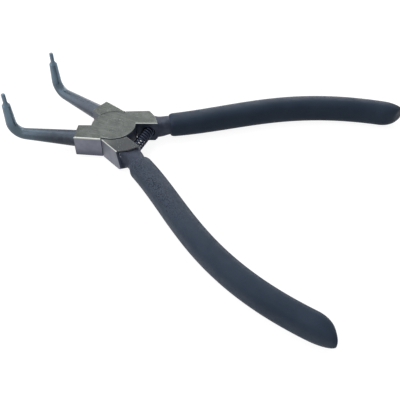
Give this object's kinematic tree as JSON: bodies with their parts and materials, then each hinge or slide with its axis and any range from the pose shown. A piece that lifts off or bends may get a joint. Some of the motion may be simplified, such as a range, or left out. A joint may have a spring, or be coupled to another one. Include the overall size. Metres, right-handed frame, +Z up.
{
  "type": "circlip pliers",
  "caption": "Internal circlip pliers with round noses bent up at a right angle, a half-lap rivet pivot, a return spring and dipped grips.",
  "frame": {"origin": "on the pivot axis, on the underside of the head", "axes": "+Z up along the pivot axis, the way the bent tips point; +X from the pivot towards the grips; +Y towards the upper lever's grip"},
  "size_m": [0.1629, 0.1376, 0.0277],
  "materials": {
    "lever_steel": "forged steel, ground bare on the head, blue-grey oxide on the noses and necks",
    "rivet_steel": "ground flush with the head",
    "spring_steel": "black oxide",
    "grip_vinyl": "dark slate dipped vinyl, satin"
  },
  "bodies": {
    "upper_half": {"upper_lever": "lever_steel", "upper_grip": "grip_vinyl", "pivot_rivet": "rivet_steel", "return_spring": "spring_steel"},
    "lower_half": {"lower_lever": "lever_steel", "lower_grip": "grip_vinyl"}
  },
  "joints": [
    {"name": "pivot", "type": "hinge", "parent": "upper_half", "child": "lower_half", "pos_m": [0, 0, 0.005], "axis": [0, 0, 1], "range_deg": [0, 41], "stiffness_Nm_per_rad": 0.3, "springref_deg": -17.19, "deforming": ["return_spring"]}
  ]
}
